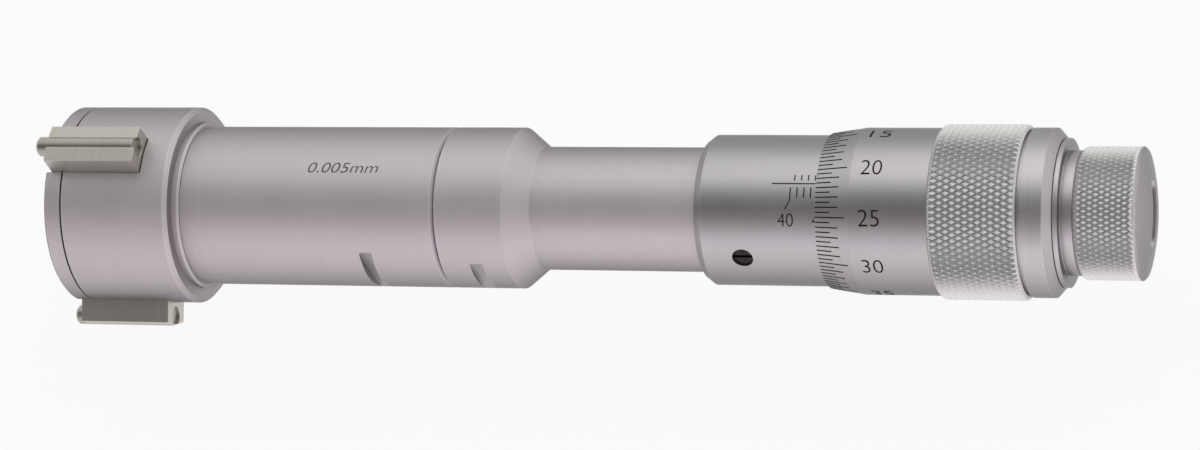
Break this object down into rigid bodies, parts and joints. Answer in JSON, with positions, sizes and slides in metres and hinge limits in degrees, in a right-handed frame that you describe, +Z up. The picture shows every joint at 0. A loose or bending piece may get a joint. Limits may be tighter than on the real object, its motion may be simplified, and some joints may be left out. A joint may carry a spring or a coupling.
{
  "type": "inside micrometer",
  "caption": "Three-point inside micrometer: a measuring head with radial anvils, a guide tube, a scaled sleeve, a knurled thimble and a ratchet knob.",
  "frame": {"origin": "centre of the front cover's flat face, on the long axis", "axes": "+X along the long axis from the measuring head towards the ratchet knob; +Z up as it lies at rest"},
  "size_m": [0.197, 0.0403, 0.0394],
  "materials": {
    "head_body": "satin chrome plated steel, turned outside",
    "front_cover": "satin turned face",
    "cover_screws": "blackened steel",
    "anvil_1": "ground steel, olive grey",
    "anvil_2": "ground steel, olive grey",
    "anvil_3": "ground steel, olive grey",
    "anvil_pin_1": "dark hard metal, polished",
    "anvil_pin_2": "dark hard metal, polished",
    "anvil_pin_3": "dark hard metal, polished",
    "taper_rod": "ground hardened steel",
    "guide_tube": "satin chrome plated steel, fine turned marks",
    "guide_bush": "turned bronze",
    "main_body": "satin chrome plated steel, fine turned marks",
    "spindle_nut": "turned bronze",
    "scale_sleeve": "matt chrome with black engraved scale",
    "lock_screw": "blackened steel",
    "swivel_cup": "turned steel",
    "swivel_ring": "turned bronze",
    "swivel_button": "hardened steel",
    "spindle": "ground threaded steel",
    "thimble_shell": "matt chrome with black engraved divisions",
    "grip_ring": "bright diamond knurl",
    "end_ring": "satin chrome plated steel, fine turned marks",
    "thimble_nut": "turned steel",
    "ratchet_wheel": "hardened steel",
    "ratchet_sleeve": "satin chrome plated steel, fine turned marks",
    "ratchet_plunger": "hardened steel",
    "ratchet_spring": "spring wire",
    "ratchet_screw": "turned steel",
    "ratchet_knob": "bright diamond knurl with a satin domed end"
  },
  "bodies": {
    "frame": {"head_body": "head_body", "front_cover": "front_cover", "cover_screws": "cover_screws", "guide_bush": "guide_bush", "guide_tube": "guide_tube", "main_body": "main_body", "spindle_nut": "spindle_nut", "scale_sleeve": "scale_sleeve", "lock_screw": "lock_screw"},
    "anvil_a": {"anvil_1": "anvil_1", "anvil_pin_1": "anvil_pin_1"},
    "anvil_b": {"anvil_2": "anvil_2", "anvil_pin_2": "anvil_pin_2"},
    "anvil_c": {"anvil_3": "anvil_3", "anvil_pin_3": "anvil_pin_3"},
    "slider": {"taper_rod": "taper_rod", "swivel_cup": "swivel_cup", "swivel_ring": "swivel_ring"},
    "thimble": {"swivel_button": "swivel_button", "spindle": "spindle", "thimble_shell": "thimble_shell", "grip_ring": "grip_ring", "end_ring": "end_ring", "thimble_nut": "thimble_nut", "ratchet_wheel": "ratchet_wheel", "ratchet_screw": "ratchet_screw"},
    "ratchet": {"ratchet_sleeve": "ratchet_sleeve", "ratchet_plunger": "ratchet_plunger", "ratchet_spring": "ratchet_spring", "ratchet_knob": "ratchet_knob"}
  },
  "joints": [
    {"name": "taper_travel", "type": "slide", "parent": "frame", "child": "slider", "axis": [1, 0, 0], "range_m": [-0.00446, 0.00754]},
    {"name": "thimble_spin", "type": "hinge", "parent": "slider", "child": "thimble", "pos_m": [0.1, 0, 0], "axis": [-1, 0, 0], "range_deg": [-2675, 4525.5]},
    {"name": "anvil_a_travel", "type": "slide", "parent": "frame", "child": "anvil_a", "axis": [0, -0.0246, 0.9997], "range_m": [-0.00186, 0.00315]},
    {"name": "anvil_b_travel", "type": "slide", "parent": "frame", "child": "anvil_b", "axis": [0, -0.8535, -0.5212], "range_m": [-0.00186, 0.00315]},
    {"name": "anvil_c_travel", "type": "slide", "parent": "frame", "child": "anvil_c", "axis": [0, 0.8781, -0.4785], "range_m": [-0.00186, 0.00315]},
    {"name": "ratchet_spin", "type": "hinge", "parent": "thimble", "child": "ratchet", "pos_m": [0.18, 0, 0], "axis": [-1, 0, 0], "continuous": true}
  ],
  "couplings": [
    {"joint": "thimble_spin", "follows": "taper_travel", "rad_per_m": 10472},
    {"joint": "anvil_a_travel", "follows": "taper_travel", "ratio": 0.41667},
    {"joint": "anvil_b_travel", "follows": "taper_travel", "ratio": 0.41667},
    {"joint": "anvil_c_travel", "follows": "taper_travel", "ratio": 0.41667}
  ]
}
